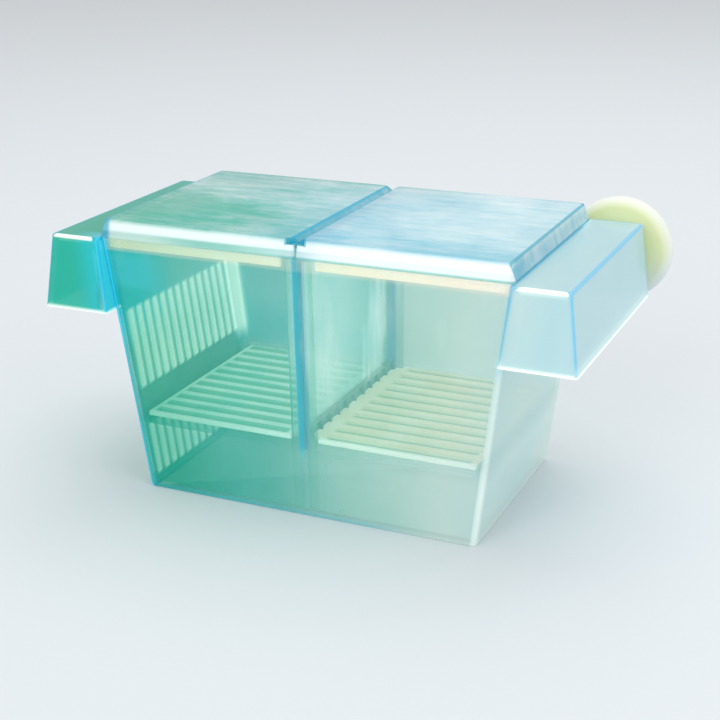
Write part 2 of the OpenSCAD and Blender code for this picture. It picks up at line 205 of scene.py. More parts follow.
class FinishTints(PropertyGroup):
    """Colours of the plastics, and of the light and shade painted on them."""

    # From deep green at the left to pale mint at the right, and ice blue on the right float: the
    # milky tint with painted shade at the left and painted light at the right.
    deep: tint("Deep green", "Bloom of the clear plastic at its left end", "23AC98")
    teal: tint("Teal", "Bloom of the clear plastic left of the middle", "5EBEB4")
    mint: tint("Mint", "Bloom of the clear plastic right of the middle", "A8D2CA")
    pale: tint("Pale mint", "Bloom of the clear plastic at its right end", "C6DAD4")
    ice: tint("Ice blue", "Bloom of the right float", "B0D1D5")
    # Painted light and shade: the lit left front corner, the back wall's run from left to right,
    # and the upper left end.
    cyan: tint("Cyan", "The lit front corner at the left", "22B4C4")
    cyan_deep: tint("Deep cyan", "The back wall's bloom at the left", "3CC0CC")
    cyan_soft: tint("Soft cyan", "The upper left end and the back wall's middle", "58CCE0")
    cream_mint: tint("Cream mint", "The back wall's bloom at the right", "E2EBDD")
    float_top: tint("Float top", "The left float's top", "0A9A80")
    # Painted highlights: the divider's lit edge drawn on the front wall, and the lit edges.
    lane: tint("Lane", "The front wall's line at the divider's edge", "00A4B8")
    edge: tint("Edge blue", "Lit edges of the clear plastic", "10A6C8")
    edge_soft: tint("Edge soft blue", "Lit edges of the right float", "62B4D8")
    edge_white: tint("Edge white", "Lit edges at the back and along the slits", "FBFDF4")
    # The lids: frosted white, with painted shade green on the left lid and a painted white
    # highlight on the front faces.
    lid: tint("Lid white", "The lids' frosted sheen", "F2F8FB")
    slope: tint("Lid slope", "The left lid's front face, under its white edge", "9BD5D2")
    lid_green: tint("Lid green", "The left lid's bloom", "3FB59C")
    lid_ice: tint("Lid ice", "The right lid's bloom", "8ECBE0")
    lip: tint("Lip", "The lids' locating lips, arms and pins", "FFE4CC")
    rail: tint("Rail", "The divider's rails", "C6EAEA")
    # Painted highlight on the divider's lit edges.
    divider_edge: tint("Divider edge", "The divider's lit edges", "00A4BE")
    divider_comb: tint("Divider comb", "The divider's comb", "0F8F86")
    ivory: tint("Ivory", "The grilles", "F3E8C8")
    grille_shade: tint("Grille shade", "The lower sides of the grilles' bars", "4FBBA2")
    cream: tint("Cream", "The suction cups", "E2E8BC")
    cup_mottle: tint("Cup mottle", "The suction cups' cloudy patches", "CFDCA0")
    # Painted shade round the cups' necks and low down, and a painted highlight on the rims.
    cup_core_shade: tint("Cup core", "The suction cups round their necks", "BCD29C")
    cup_rim_highlight: tint("Cup rim", "The suction cups' rims", "F2F5F6")
    cup_shade: tint("Cup shade", "The suction cups' lower parts", "BCCED8")


class StageSettings(PropertyGroup):
    """Camera and studio light."""

    lens: number("Lens", "Focal length in millimetres", 71, unit="CAMERA")
    eye: point("Eye", "Camera position", (0.2094, -0.4503, 0.2277))
    aim: point("Aim", "Point the camera looks at", (0.004, 0, 0.046))
    roll: number("Roll", "Turn of the camera about its own axis", -0.0134, subtype="ANGLE")
    floor: tint("Floor", "The plain pale floor", "E3E8EC")
    sky: number("Sky", "Strength of the even surrounding light", 0.68, min=0)


def sizes(*names):
    """Groups of settings by their short names."""
    return [getattr(bpy.context.scene, "box_" + name) for name in names]


# ---------------------------------------------------------------- surfaces


def rounded(radius):
    """A quarter round in three steps: the radius times 1 - cosine, and times 1 - sine.

    At a lower edge they are the rise above it and the inset, and at an upper edge the inset and
    the depth below it.
    """
    bend = np.radians([0, 30, 60, 90])
    return radius * (1 - np.cos(bend)), radius * (1 - np.sin(bend))


def grid(*columns):
    """Numbers side by side, each given as a grid, a row, a column or one number."""
    return np.stack(np.broadcast_arrays(*columns), -1).astype(float)


def loop_stations(ends, sides, steps):
    """Stations of a round-cornered rectangle, counter-clockwise from the +X end.

    A row is (sx, cx, ex, sy, cy, ey). A station's X is sx times the corner centres' half distance,
    plus cx times the corner radius, plus ex, and its Y is the same with sy, cy and ey. ends holds
    (sy, ey) pairs up the +X end, sides holds (sx, ex) pairs along +X.
    """
    turn = np.linspace(0, np.pi / 2, steps + 1)
    c, s = np.cos(turn), np.sin(turn)
    (end_s, end_e), (side_s, side_e) = np.transpose(ends), np.transpose(sides)
    right, front = grid(1, 1, 0, end_s, 0, end_e), grid(side_s, 0, side_e, -1, -1, 0)
    corner = [
        grid(sx, cx, 0, sy, cy, 0)
        for sx, sy, cx, cy in ((1, 1, c, s), (-1, 1, -s, c), (-1, -1, -c, -s), (1, -1, s, -c))
    ]
    back = (front * [1, 1, 1, -1, -1, -1])[::-1]
    left = (right * [-1, -1, -1, 1, 1, 1])[::-1]
    return np.concatenate([right, corner[0], back, corner[1], left, corner[2], front, corner[3]])


def corner_line(stations):
    """1 in the middle of a rounded corner, 0 elsewhere: the squared sine of twice the turn."""
    return (2 * stations[:, 1] * stations[:, 4]) ** 2


def loops(stations, z, x0, x1, y0, y1, r):
    """A round-cornered rectangle at each height z: x0 to x1, y0 to y1, with corner radius r."""
    z, x0, x1, y0, y1, r = grid(z, x0, x1, y0, y1, r).T[..., None]
    sx, cx, ex, sy, cy, ey = stations.T
    x = (x0 + x1) / 2 + sx * ((x1 - x0) / 2 - r) + cx * r + ex
    y = (y0 + y1) / 2 + sy * ((y1 - y0) / 2 - r) + cy * r + ey
    return grid(x, y, z)


def wall(outer, inner, solid, wrap=True, capped=""):
    """Closed shell between an outer and an inner grid of points, open where solid is False.

    Both grids are rows of stations. Each solid cell gives a quad on the outer grid and its mirror
    on the inner one, and every edge between a solid and an open cell gives a quad that joins the
    two. Where capped is "low" or "high", that end has a flat face across each grid instead.
    """
    rows, count = outer.shape[:2]
    cells = count if wrap else count - 1
    solid = np.broadcast_to(solid, (rows - 1, cells))
    shift = rows * count
    here = np.arange(shift).reshape(rows, count)
    near, there = here[:, :cells], np.roll(here, -1, 1)[:, :cells]
    quad = np.stack([near[:-1], there[:-1], there[1:], near[1:]], -1)[solid]
    side = np.stack([here[:-1], here[1:], here[1:] + shift, here[:-1] + shift], -1)
    flat = np.stack([near, near + shift, there + shift, there], -1)
    before = np.roll(solid, 1, 1) if wrap else np.pad(solid, ((0, 0), (1, 0)))
    after = solid if wrap else np.pad(solid, ((0, 0), (0, 1)))
    below = np.concatenate([solid[:1] & (capped == "low"), solid])
    above = np.concatenate([solid, solid[-1:] & (capped == "high")])
    quads = [quad, quad[:, ::-1] + shift]
    quads += [side[after & ~before], side[before & ~after][:, ::-1]]
    quads += [flat[above & ~below], flat[below & ~above][:, ::-1]]
    faces = np.concatenate(quads).tolist()
    if capped:
        across = here[0][::-1] if capped == "low" else here[-1]
        faces += [across.tolist(), (across[::-1] + shift).tolist()]
    return np.concatenate([outer.reshape(-1, 3), inner.reshape(-1, 3)]), faces


def prism(outline, start, end, axis, place=(0, 0, 0)):
    """A flat outline carried straight along an axis from start to end, closed at each end.

    The outline's two coordinates are the other two axes, in the order that makes it run
    counter-clockwise seen from the axis's far end. The result is shifted by place.
    """
    points = np.roll(grid([[start], [end]], *np.transpose(outline)), axis, -1)
    n = len(outline)
    k = np.arange(n)
    following = np.roll(k, -1)
    sides = np.stack([k, following, following + n, k + n], 1).tolist()
    return points.reshape(-1, 3) + place, sides + [k[::-1].tolist(), (k + n).tolist()]


def ring(outline, bore, start, end, place):
    """An outline round the X axis with a round bore in it, carried along X and shifted by place.

    The bore's points lie on the lines from the axis to the outline's points, at its radius.
    """
    flat = np.asarray(outline, float)
    hole = flat * (bore / np.hypot(*flat.T))[:, None]
    outer, inner = (grid([[start], [end]], *p.T) + place for p in (flat, hole))
    return wall(outer, inner, True)


def turned(profile, x, y, z, steps=96):
    """A profile of (radius, distance) turned round a line along Y through x, y, z.

    It starts and ends on the line. A point's X and Z are its radius times the cosine and sine
    of the turn.
    """
    r, s = np.asarray(profile, float).T
    turn = np.linspace(0, 2 * np.pi, steps, endpoint=False)
    r, s = r[1:-1, None], s[:, None]
    body = grid(x + r * np.cos(turn), y + s[1:-1], z - r * np.sin(turn))
    rows = len(body)
    here = np.arange(rows * steps).reshape(rows, steps)
    there = np.roll(here, -1, 1)
    quads = np.stack([here[:-1], there[:-1], there[1:], here[1:]], -1).reshape(-1, 4).tolist()
    poles = np.array([[x, y + s[0, 0], z], [x, y + s[-1, 0], z]])
    first, last = np.full((2, steps), rows * steps) + [[0], [1]]
    fans = np.stack([first, there[0], here[0]], 1).tolist()
    fans += np.stack([last, here[-1], there[-1]], 1).tolist()
    return np.concatenate([body.reshape(-1, 3), poles]), quads + fans


def arc(start, end, radius, steps):
    """Points of a circle round the origin, from one angle to another in degrees."""
    turn = np.radians(np.linspace(start, end, steps))
    return np.stack([radius * np.cos(turn), radius * np.sin(turn)], 1).tolist()


def together(*shells):
    """Several closed shells as one list of points and faces."""
    points, faces, shift = [], [], 0
    for p, f in shells:
        points.append(p)
        faces += [[i + shift for i in face] for face in f]
        shift += len(p)
    return np.concatenate(points), faces


def mirrored(shell, axis):
    """A shell reflected across the plane through the origin, its faces turned outwards again."""
    points, faces = shell
    flip = np.ones(3)
    flip[axis] = -1
    return points * flip, [face[::-1] for face in faces]


def doubled(shell, axis):
    """A shell together with its mirror image."""
    return together(shell, mirrored(shell, axis))


def both_sides(shell):
    """A shell of the right side, and its mirror image for the left, each with its side's name."""
    return ("right", shell), ("left", mirrored(shell, 0))


def mesh_of(name, shell):
    """A mesh from a shell's points and faces."""
    points, faces = shell
    mesh = bpy.data.meshes.new(name)
    mesh.from_pydata(np.asarray(points).tolist(), [], faces)
    return mesh


def placed(name, data):
    """A new object at the origin, in the scene."""
    obj = bpy.data.objects.new(name, data)
    bpy.context.scene.collection.objects.link(obj)
    return obj


def piece(name, shell, body, plastic, replaces=(), lit=0.0, bevel=0.0, smooth=SMOOTH_ANGLE):
    """An object from a shell, with its plastic, its body and its points' lit values.

    bevel is the width of its softened edges, and smooth the angle in degrees that stays smooth.
    """
    points, faces = shell
    used, place = np.unique(np.concatenate(faces), return_inverse=True)
    starts = np.cumsum([len(face) for face in faces])[:-1]
    mesh = mesh_of(name, (points[used], [face.tolist() for face in np.split(place, starts)]))
    if mesh.validate():
        raise RuntimeError(f"{name}: the surface has faulty faces")
    values = np.broadcast_to(lit, len(points))[used].astype(np.float32)
    mesh.attributes.new("lit", "FLOAT", "POINT").data.foreach_set("value", values)
    mesh.polygons.foreach_set("use_smooth", np.ones(len(mesh.polygons), bool))
    mesh.set_sharp_from_angle(angle=math.radians(smooth))
    slot, make = FINISHES[plastic]
    mesh.materials.append(bpy.data.materials.get(plastic) or make(*sizes("tints")))
    obj = placed(name, mesh)
    if bevel:
        soften = obj.modifiers.new("soft_edges", "BEVEL")
        soften.width, soften.segments = bevel, 2
        soften.limit_method, soften.angle_limit = "ANGLE", math.radians(40)
    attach(obj, body)
    if replaces:
        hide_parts(*replaces)
    return obj


# ---------------------------------------------------------------- finishes


def node(kind, settings=None, tree=None, **inputs):
    """A shader node with its settings, in the tree that its linked inputs come from.

    Inputs are set or linked by name, or as i0, i1 and so on by place.
    """
    tree = tree or next(v.tree for v in inputs.values() if isinstance(v, Value))
    made = tree.nodes.new("ShaderNode" + kind)
    for key, value in (settings or {}).items():
        setattr(made, key, value)
    for key, value in inputs.items():
        socket = made.inputs[int(key[1:]) if key[1:].isdigit() else key.replace("_", " ")]
        if isinstance(value, Value):
            tree.links.new(value.socket, socket)
        else:
            socket.default_value = value
    return made


def result(kind, settings=None, out=0, tree=None, **inputs):
    """An output of a new node, as a value."""
    return Value(node(kind, settings, tree, **inputs).outputs[out])


def maths(operation, a, b=0.0, clamp=False):
    """The result of one operation on numbers or values."""
    return result("Math", {"operation": operation, "use_clamp": clamp}, i0=a, i1=b)


class Value:
    """A number or colour inside a material. Sums with it add the nodes that work them out."""

    def __init__(self, socket):
        self.socket, self.tree = socket, socket.id_data

    def __add__(self, other):
        return maths("ADD", self, other)

    def __sub__(self, other):
        return maths("SUBTRACT", self, other)

    def __rsub__(self, other):
        return maths("SUBTRACT", other, self)

    def __mul__(self, other):
        return maths("MULTIPLY", self, other)

    def __or__(self, other):
        """The greater of the two."""
        return maths("MAXIMUM", self, other)

    def __abs__(self):
        return maths("ABSOLUTE", self)

    __radd__, __rmul__ = __add__, __mul__

    def clamped(self):
        """The value held between 0 and 1."""
        return maths("ADD", self, 0.0, clamp=True)

    def share(self, start, end, kind="LINEAR"):
        """An even slope from 0 at start to 1 at end."""
        settings = {"interpolation_type": kind}
        return result("MapRange", settings, Value=self, From_Min=start, From_Max=end)

    def rise(self, start, end):
        """A smooth step from 0 at start to 1 at end."""
        return self.share(start, end, "SMOOTHSTEP")

    def fall(self, start, end):
        """A smooth step from 1 at start to 0 at end."""
        return 1.0 - self.rise(start, end)

    def strip(self, low, high, soft):
        """1 from low to high, fading to 0 over soft on each side."""
        return self.rise(low - soft, low) * self.fall(high, high + soft)


def blend(share, a, b):
    """Two colours mixed, with this share of the second."""
    return result("Mix", {"data_type": "RGBA"}, out=2, i0=share, i6=a, i7=b)


def layered(colour, *layers):
    """A colour with others laid over it in order, each given as (share, colour)."""
    for share, over in layers:
        colour = blend(share, colour, over)
    return colour


def ramp(value, stops):
    """A colour ramp over a value, from a colour, a hex code or a grey level at each place."""
    made = node("ValToRGB", Fac=value)
    line = made.color_ramp.elements
    while len(line) < len(stops):
        line.new(1)
    for stop, (place, colour) in zip(line, stops.items()):
        if isinstance(colour, str):
            colour = rgb(colour)
        stop.position, stop.color = place, grey(colour) if isinstance(colour, float) else colour
    return Value(made.outputs["Color"])


def noise(where, scale, detail=2.0, rough=0.5, squeeze=None):
    """Soft noise at a place, drawn out along the axes that squeeze makes shorter."""
    if squeeze:
        where = result("Mapping", Vector=where, Scale=squeeze)
    return result("TexNoise", Vector=where, Scale=scale, Detail=detail, Roughness=rough)


def grey(level):
    """A grey colour: the same level in each channel."""
    return (level, level, level, 1.0)


def new_finish(name):
    """A new material, with its place and its X, Y and Z as values."""
    mat = bpy.data.materials.new(name)
    mat.use_nodes = True
    mat.node_tree.nodes.clear()
    where = result("TexCoord", out="Object", tree=mat.node_tree)
    return mat, where, *(result("SeparateXYZ", out=axis, Vector=where) for axis in "XYZ")


def lit_edges(where):
    """The piece's own lit value as two masks of 0 to 1, where it is above 0 and where it is below
    0: most finishes paint highlights with them.
    """
    settings = {"attribute_type": "GEOMETRY", "attribute_name": "lit"}
    value = result("Attribute", settings, out="Fac", tree=where.tree)
    return value | 0.0, value * -1.0 | 0.0


def filled(mat, colour, strength, glow=1.0, clear=None, bump=None, **inputs):
    """Fill in a material's shader and hand it back.

    A share of the colour, glow, is given off as light at its strength: a painted glow that
    brightens the plastic whatever the lamps. bump is (height, strength, distance) of a faint
    unevenness. clear is the colour of the light let through and the share that is solid. Less gets
    through where the surface is edge-on.
    """
    tree = mat.node_tree
    if bump:
        height, depth, distance = bump
        inputs["Normal"] = result("Bump", Height=height, Strength=depth, Distance=distance)
    # Painted glow: the colour given off as emission, though the plastic is no lamp.
    inputs.update(Base_Color=colour, Emission_Color=blend(glow, grey(0), colour))
    surface = result("BsdfPrincipled", IOR=1.49, Emission_Strength=strength, **inputs)
    if clear:
        light, solid = clear
        edge_on = result("LayerWeight", tree=tree, Blend=0.15) * 0.4
        share = (edge_on * (1.0 - solid) + solid).clamped()
        light = result("BsdfTransparent", tree=tree, Color=light)
        surface = result("MixShader", i0=share, i1=light, i2=surface)
    node("OutputMaterial", Surface=surface)
    return mat


def edge_highlight_colour(tints, x, y, z):
    """Colour of the painted highlight on lit edges: blue, turning white at the back and low at the
    right, where it is also fainter.
    """
    low_right = x.rise(0.02, 0.062) * z.fall(0.055, 0.075)
    back = y.rise(0.03, 0.04) * abs(x).fall(0.076, 0.079)
    blue = blend(x.rise(0.06, 0.09), tints.edge, tints.edge_soft)
    return blend(low_right | back, blue, tints.edge_white), 1.0 - low_right * 0.6


def aqua_finish(tints):
    """Clear aqua plastic with a milky bloom, painted shade greener at the left, painted light paler
    at the right, and painted highlights on lit edges.
    """
    t, d = sizes("tank", "lids")
    mat, where, x, y, z = new_finish("aqua_bloom")
    share = x.share(-0.1, 0.1)
    cloud = noise(where, 26, 3) - 0.5
    end_x = z * ((t.rim_l - t.base_l) / t.height) + t.base_l
    middle, beyond = abs(x), x + end_x
    inside = end_x - middle
    lip_z = t.height - d.lip_drop

    # Each of these is 1 on the part that it names.
    walls = inside.rise(-0.5 * MM, 0.5 * MM)
    rear = y.rise(0.032, 0.037) * z.rise(0.024, 0.036) * walls
    front = y.fall(-0.037, -0.034) * walls
    # Painted light: the back wall paler high up at the left.
    pale = rear * z.rise(0.038, 0.056) * share.fall(0.4, 0.55)
    band = front * z.rise(lip_z - 0.8 * MM, lip_z)
    # Painted highlight: the divider's lit front edge, drawn as a line on the front wall.
    lane = front * z.rise(0.02, 0.028) * middle.fall(0.8 * MM, 1.4 * MM)
    left_end = beyond.strip(-0.3 * MM, 2 * MM, 0.3 * MM)
    right_end = (x - end_x).rise(-2.5 * MM, -1.9 * MM)
    # Painted light: the upper left end wall and the front wall's upper left corner, bluer at the
    # front and paler towards the back.
    upper = left_end * z.rise(0.05, 0.066)
    high = z.strip(0.08, 0.089, 0.004) * x.fall(-0.06, -0.048) * beyond.rise(-2.5 * MM, -1.5 * MM)
    high = high * 0.6 | upper
    inward = y.rise(-0.03, 0.006)
    # Painted highlights: a band at the back corners, and soft upright streaks of painted reflection
    # on the back wall.
    turn = inside.strip(0.0, 3.5 * MM, 1.2 * MM) * rear * z.rise(0.031, 0.04)
    streak = noise(where, 60, 3, squeeze=(1, 1, 0.22)).rise(0.55, 0.75)
    streak = streak * z.rise(0.03, 0.05) * middle.fall(0.068, 0.075)
    streak = streak * 0.55 | turn * 0.9
    top_left = z.rise(t.height - 2 * MM, t.height - MM) * beyond.fall(-3 * MM, -1 * MM)
    # Painted highlight down the front left corner.
    corner = beyond.rise(-0.013, 0.0) * beyond.fall(1.5 * MM, 4.5 * MM) * y.fall(-0.0395, -0.037)
    low = z.fall(0.022, 0.033)
    # Painted highlights along the lit edges: the edge colour where the lit value is above 0, white
    # where it is below 0.
    edge, strength = edge_highlight_colour(tints, x, y, z)
    glow, white_highlight = lit_edges(where)
    glow = glow * strength
    edges = glow | white_highlight

    # The colour runs from deep green at the left end to pale mint at the right: painted shade at
    # the left and painted light at the right, over the plastic's milky tint. The back wall has its
    # own run.
    stops = {0.12: tints.deep, 0.22: tints.deep, 0.38: tints.teal, 0.6: tints.mint}
    bloom = ramp(share + cloud * 0.2, {**stops, 0.8: tints.pale, 0.93: tints.ice})
    stops = {0.2: tints.cyan_deep, 0.44: tints.cyan_soft, 0.5: tints.mint}
    rear_bloom = ramp(share, {**stops, 0.75: tints.cream_mint, 0.85: tints.ice})
    colour = layered(
        bloom,
        (rear * 0.85, rear_bloom),
        (pale * 0.6, tints.ice),
        (band * 0.5, tints.lip),
        (lane * 0.8, tints.lane),
        (high * 0.85, blend(inward, tints.cyan_soft, tints.ice)),
        (streak, tints.edge_white),
        (top_left * 0.75, tints.float_top),
        (corner * 0.7, tints.cyan),
        (glow, edge),
        (white_highlight, tints.edge_white),
    )
    # Painted glow: the share of the colour given off, most on the lit edges, the upper left end and
    # the back corners.
    lit = 0.5 + edges * 0.35 + upper * 0.9 + white_highlight * 0.4 + upper * inward * 0.7 + turn * 0.6

    veil = ramp(share, {0.11: 0.8, 0.125: 0.2, 0.5: 0.13, 0.86: 0.24, 0.9: 0.45}) + cloud * 0.16
    veil = veil + right_end * 0.3 + left_end * 0.3 + upper * 0.3 + high * 0.15 + corner * 0.15
    veil = veil + low * (share * 0.2 + 0.12) + rear * (0.5 - share * 0.3) + streak * 0.25
    veil = veil + lane * 0.45 + band * 0.08 + pale * 0.12
    solid = ((0.85 - veil) * edges + veil).clamped()
    # The light let through is greener at the left too, with the same painted shade.
    light = ramp(share, {0.1: "E6F8F2", 0.4: "F1FBF8", 0.6: "F9FEFC", 0.9: "FAFCFE"})
    return filled(
        mat,
        colour,
        0.4,
        glow=lit,
        clear=(light, solid),
        bump=(noise(where, 45), 0.12, 0.6 * MM),
        Roughness=noise(where, 90) * 0.14 + 0.06,
        Coat_Weight=0.15,
        Specular_IOR_Level=0.25,
    )


def rail_finish(tints):
    """The tank's plastic where it is thick: pale strips beside a blue channel, fading low down."""
    mat, where, x, _, z = new_finish("rail_bloom")
    cloud = noise(where, 60, 3)
    blue = abs(x).fall(1.5 * MM, 1.9 * MM)
    low = z.fall(0.045, 0.062) * (0.8 - blue).clamped()
    # Across the rails: the channel's edges in the lit-edge blue and a white line beside them on the
    # right, painted highlights; teal at the outer left edge and mint at the right.
    strips = {0.03: tints.teal, 0.12: tints.rail, 0.3: tints.rail, 0.34: tints.edge}
    strips.update({0.66: tints.edge, 0.7: tints.edge_white, 0.8: tints.rail, 0.9: tints.mint})
    colour = blend(low, ramp(x.share(-5 * MM, 5 * MM), strips), tints.teal)
    solid = (0.25 + blue * 0.55 + cloud * 0.15) * (z.rise(0.02, 0.03) * 0.7 + 0.3)
    return filled(mat, colour, 0.2, clear=(rgb("F0FBF8"), solid), Roughness=cloud * 0.14 + 0.1)


def lid_finish(tints):
    """Frosted white lids with streaks of painted sheen, painted shade green on the left lid,
    painted white highlights on the front faces, and blue lines.
    """
    t, d = sizes("tank", "lids")
    mat, where, x, y, z = new_finish("lid_frost")
    top_x, top_z, front_y = t.rim_l - d.slope_l, t.height + d.height, d.slope_w - t.rim_w
    middle = abs(x)
    # Streaks of painted sheen in the colour; they also give the faint unevenness and the roughness.
    streak = noise(where, 38, 5, 0.6, (1, 4, 1)) - 0.5
    streak = streak + (noise(where, 150, 3, 0.6, (1, 3, 1)) - 0.5) * 0.5
    cloud = noise(where, 30, 4) - 0.5

    # The tops: painted shade green on the left lid, greener at its left and front, green along the
    # back edge, and ice blue patches, more near the seam and at the front right.
    front = y.fall(-0.045, 0.04)
    green = x.fall(-0.07, 0.03) * (front * 0.8 + 0.5) + cloud * 1.1 + streak * 0.8
    green = maths("MINIMUM", (green | 0.0) * x.fall(-0.006, 0.004), 0.95)
    green = (green * (streak * 0.9 + 0.88)).clamped()
    near = middle.fall(0.004, 0.026) * (front * 0.85 + 0.15)
    front_right = x.rise(0.022, 0.045) * y.fall(-0.04, -0.01)
    ice = (cloud * 1.2 + streak * 1.3 + near * 0.4 + front_right * 0.45 + 0.5).clamped()
    rear = y.rise(0.0385, 0.0408) * x.fall(0.0, 0.05)

    # The blue lines, painted highlights on the edges: the seam's groove, the lids' ends and the
    # finger notch.
    seam = middle.fall(2.4 * MM, 3 * MM) * (middle.strip(1.8 * MM, 2.6 * MM, 0.3 * MM) * 0.5 + 0.6)
    end_line = middle.strip(top_x - 0.5 * MM, top_x + 0.15 * MM, 0.15 * MM)
    rim_line = z.fall(t.height + 0.7 * MM, t.height + MM) * middle.rise(0.0755, 0.076)
    slope = y.fall(front_y - 0.5 * MM, front_y + 0.3 * MM)
    mark = (seam | end_line | rim_line) * 0.85 * (1.0 - slope)
    notch_y = y - (d.slope_w / 2 - t.rim_w)
    far = maths("SQRT", x * x + notch_y * notch_y)
    notch_z = top_z - d.finger_d
    notch = far.strip(d.finger_r - 0.2 * MM, d.finger_r + 0.5 * MM, 0.2 * MM)
    notch = notch * z.rise(notch_z - 0.3 * MM, notch_z + 0.1 * MM) * 0.7
    block = x.fall(-0.0745, -0.0725) * y.fall(-0.0405, -0.0385)

    # The front faces: a painted white highlight along the brim, and all the way down towards the
    # right.
    brim = z.rise(top_z - 4.6 * MM, top_z - 3.4 * MM)
    right = x.rise(-0.03, 0.02) * z.rise(t.height + 0.4 * MM, t.height + 1.2 * MM)
    left_end = x.fall(-0.06, -0.035) * 0.7
    colour = layered(
        tints.lid,
        (ice, tints.lid_ice),
        (green, tints.lid_green),
        (rear * 0.5, tints.lid_green),
        (mark, tints.edge),
        (slope, blend(brim * 0.82 | right | left_end, tints.slope, tints.lid)),
        (notch | block * 0.8, tints.edge),
    )
    solid = green * 0.06 + 0.62 | (mark | notch) * 0.85
    solid = ((brim | right * 0.7) * 0.4 + 0.45 - solid) * slope + solid
    return filled(
        mat,
        colour,
        0.12,
        clear=(rgb("EEFBF8"), solid),
        bump=(streak, 0.12, 0.4 * MM),
        Roughness=streak * 0.25 + 0.2,
        Coat_Weight=0.15,
        Specular_IOR_Level=0.25,
    )


def fitting_finish(tints):
    """The lids' plastic in their lips, arms and pins: cream-white and a little cloudy."""
    mat, where, _, y, _ = new_finish("fitting_frost")
    cloud = noise(where, 80, 3)
    front = y.fall(-0.037, -0.033)
    return filled(
        mat,
        blend(cloud, tints.lip, tints.edge_white),
        0.32,
        # Painted glow, strongest on the lips at the front.
        glow=front * 0.85 + 0.15,
        clear=(rgb("F8FCF8"), front * 0.35 + cloud * 0.2 + 0.4),
        Roughness=cloud * 0.14 + 0.12,
    )


def divider_finish(tints):
    """Clear blue-tinted plate with painted highlights on its bright blue edges, painted reflections
    as white streaks and a whiter upper front, and a dark comb.
    """
    mat, where, _, y, z = new_finish("divider_glow")
    cloud = noise(where, 30, 3)
    # Painted reflections: white-blue upright streaks, and a whiter upper front.
    streak = noise(where, 55, 3, squeeze=(1, 1, 0.25)).rise(0.5, 0.75)
    upper = z.rise(0.026, 0.045) * y.fall(-0.01, 0.03)
    # Painted highlight along the lit edges; the comb is darker.
    glow, comb = lit_edges(where)
    comb = comb * 0.95
    colour = layered(
        blend(streak | upper * 0.7, tints.teal, tints.lid),
        (glow, tints.divider_edge),
        (comb, tints.divider_comb),
    )
    veil = cloud * 0.08 + streak * 0.4 + upper * 0.22 + 0.04
    solid = ((0.95 - veil) * (glow | comb) + veil).clamped()
    return filled(mat, colour, 0.35, clear=(rgb("F0FBFA"), solid), Roughness=cloud * 0.12 + 0.06)


def grille_finish(tints):
    """Ivory moulded plastic with a faint grain, painted shade low down its bars' sides and over the
    left grille, and a painted white highlight along its front edge.
    """
    mat, where, x, y, z = new_finish("grille_grain")
    (s,) = sizes("inside")
    far, end, top = abs(x), GRILLE_HIGH.x - s.end_bar, GRILLE_HIGH.z
    mottle = noise(where, 60, 3)
    warm = ramp(mottle, {0.3: "EDDDB4", 0.55: tints.ivory, 0.8: "FCF1DC"})
    cool = ramp(mottle, {0.3: "CFEFE2", 0.55: "ECF8EA", 0.8: "FAFCF4"})
    # Painted shade: the left grille cooler and greener than the right.
    right = x.rise(-0.01, 0.01)
    # Painted highlight: white along the front edge.
    edge = y.fall(GRILLE_LOW.y + 1.2 * MM, GRILLE_LOW.y + 2 * MM)
    # Painted shade low down the bars' sides beside the slits.
    flank = maths("PINGPONG", y, s.slit_pitch / 2)
    flank = flank.fall(s.slit_w / 2 + 0.3 * MM, s.slit_w / 2 + 1.1 * MM)
    flank = flank * far.rise(s.lane - MM, s.lane) * far.fall(end, end + MM) * (0.7 - right * 0.45)
    low = (z.fall(top - 1.2 * MM, top - 0.3 * MM) * 0.7 | flank) * (1.0 - edge)
    return filled(
        mat,
        layered(cool, (right, warm), (edge * 0.85, tints.edge_white), (low, tints.grille_shade)),
        0.25,
        bump=(noise(where, 900), 0.2, 0.12 * MM),
        Roughness=mottle * 0.2 + 0.28,
        Subsurface_Weight=0.15,
        Subsurface_Radius=(0.002, 0.0016, 0.001),
    )


def cup_finish(tints):
    """Soft milky vinyl, with painted shade greener towards its middle and bluer low down, and a
    painted white highlight at its rim.
    """
    mat, where, _, _, z = new_finish("cup_vinyl")
    mottle = noise(where, 90, 3)
    # From the lit value: the painted highlight at the rim, and the painted shade round the neck.
    rim, core = lit_edges(where)
    colour = layered(
        tints.cream,
        (mottle * 0.5 + 0.05, tints.cup_mottle),
        (core * 0.75, tints.cup_core_shade),
        (rim * 0.85, tints.cup_rim_highlight),
        # Painted shade low down.
        (z.fall(0.066, 0.088) * 0.75, tints.cup_shade),
    )
    return filled(
        mat,
        colour,
        0.1,
        clear=(rgb("F7F7E8"), mottle * 0.12 + 0.82),
        bump=(noise(where, 300), 0.1, 0.2 * MM),
        Roughness=mottle * 0.2 + 0.25,
        Subsurface_Weight=0.25,
        Subsurface_Radius=(0.003, 0.003, 0.002),
    )


# Each plastic's slot in the record, and the function that makes its material.
FINISHES = {
    "aqua_bloom": ("aqua_clear", aqua_finish),
    "rail_bloom": ("aqua_clear", rail_finish),
    "lid_frost": ("lid_clear", lid_finish),
    "fitting_frost": ("lid_clear", fitting_finish),
    "divider_glow": ("divider_clear", divider_finish),
    "grille_grain": ("grille_ivory", grille_finish),
    "cup_vinyl": ("cup_soft", cup_finish),
}


# ---------------------------------------------------------------- shapes


def half_l(z):
    """Half length of the tank's outside at a height: the base's, growing evenly to the rim's."""
    (t,) = sizes("tank")
    return t.base_l + (t.rim_l - t.base_l) * z / t.height


def half_w(z):
    """Half width of the tank's outside at a height, worked out in the same way."""
    (t,) = sizes("tank")
    return t.base_w + (t.rim_w - t.base_w) * z / t.height


def quarters(line):
    """Stations at a side's quarters, and at a line's width from its corners."""
    return [(-1, line), (-0.5, 0), (0, 0), (0.5, 0), (1, -line)]


